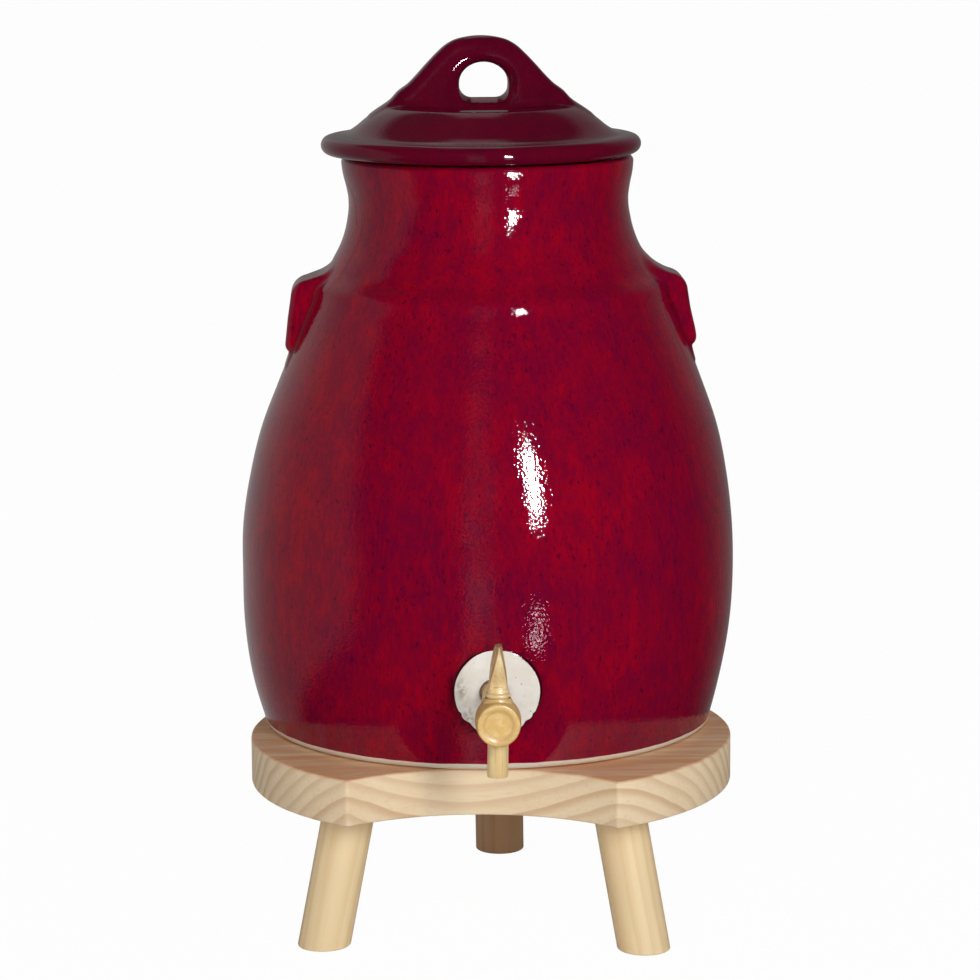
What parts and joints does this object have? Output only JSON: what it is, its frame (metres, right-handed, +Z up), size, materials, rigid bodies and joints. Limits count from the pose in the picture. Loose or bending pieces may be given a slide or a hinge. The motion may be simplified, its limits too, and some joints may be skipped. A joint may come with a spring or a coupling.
{
  "type": "vinegar crock",
  "caption": "Glazed stoneware crock with a loop-handled lid, side lugs and a turned wooden tap in a cork bung, standing on a round pine stand with splayed dowel legs.",
  "frame": {"origin": "on the surface the stand's legs rest on, under the middle of the whole object's box", "axes": "+Z up, the tap points along -Y, +X to the right as seen from the tap's side"},
  "size_m": [0.218, 0.2762, 0.3835],
  "materials": {
    "red_glaze": "glossy mottled crimson glaze over stoneware, bare at the foot and the tap's boss",
    "lid_glaze": "glossy plain burgundy glaze",
    "cork": "bare cork bark",
    "turned_wood": "turned and lightly waxed",
    "pine": "sanded and lacquered, satin"
  },
  "bodies": {
    "stand": {"stand_board": "pine", "leg_front_left": "pine", "leg_front_right": "pine", "leg_back": "pine"},
    "crock": {"crock_body": "red_glaze", "tap_cork": "cork"},
    "lid": {"lid": "lid_glaze"},
    "tap": {"tap_body": "turned_wood", "key_cork_sleeve": "cork"},
    "key": {"tap_key": "turned_wood"}
  },
  "joints": [
    {"name": "crock_lift", "type": "slide", "parent": "stand", "child": "crock", "axis": [0, 0, 1], "range_m": [0, 0.06]},
    {"name": "lid_lift", "type": "slide", "parent": "crock", "child": "lid", "axis": [0, 0, 1], "range_m": [0, 0.07]},
    {"name": "tap_pull", "type": "slide", "parent": "crock", "child": "tap", "axis": [0, -1, 0], "range_m": [0, 0.05]},
    {"name": "key_turn", "type": "hinge", "parent": "tap", "child": "key", "pos_m": [-0.0014, -0.12814, 0.1163], "axis": [0, 0, 1], "continuous": true}
  ]
}
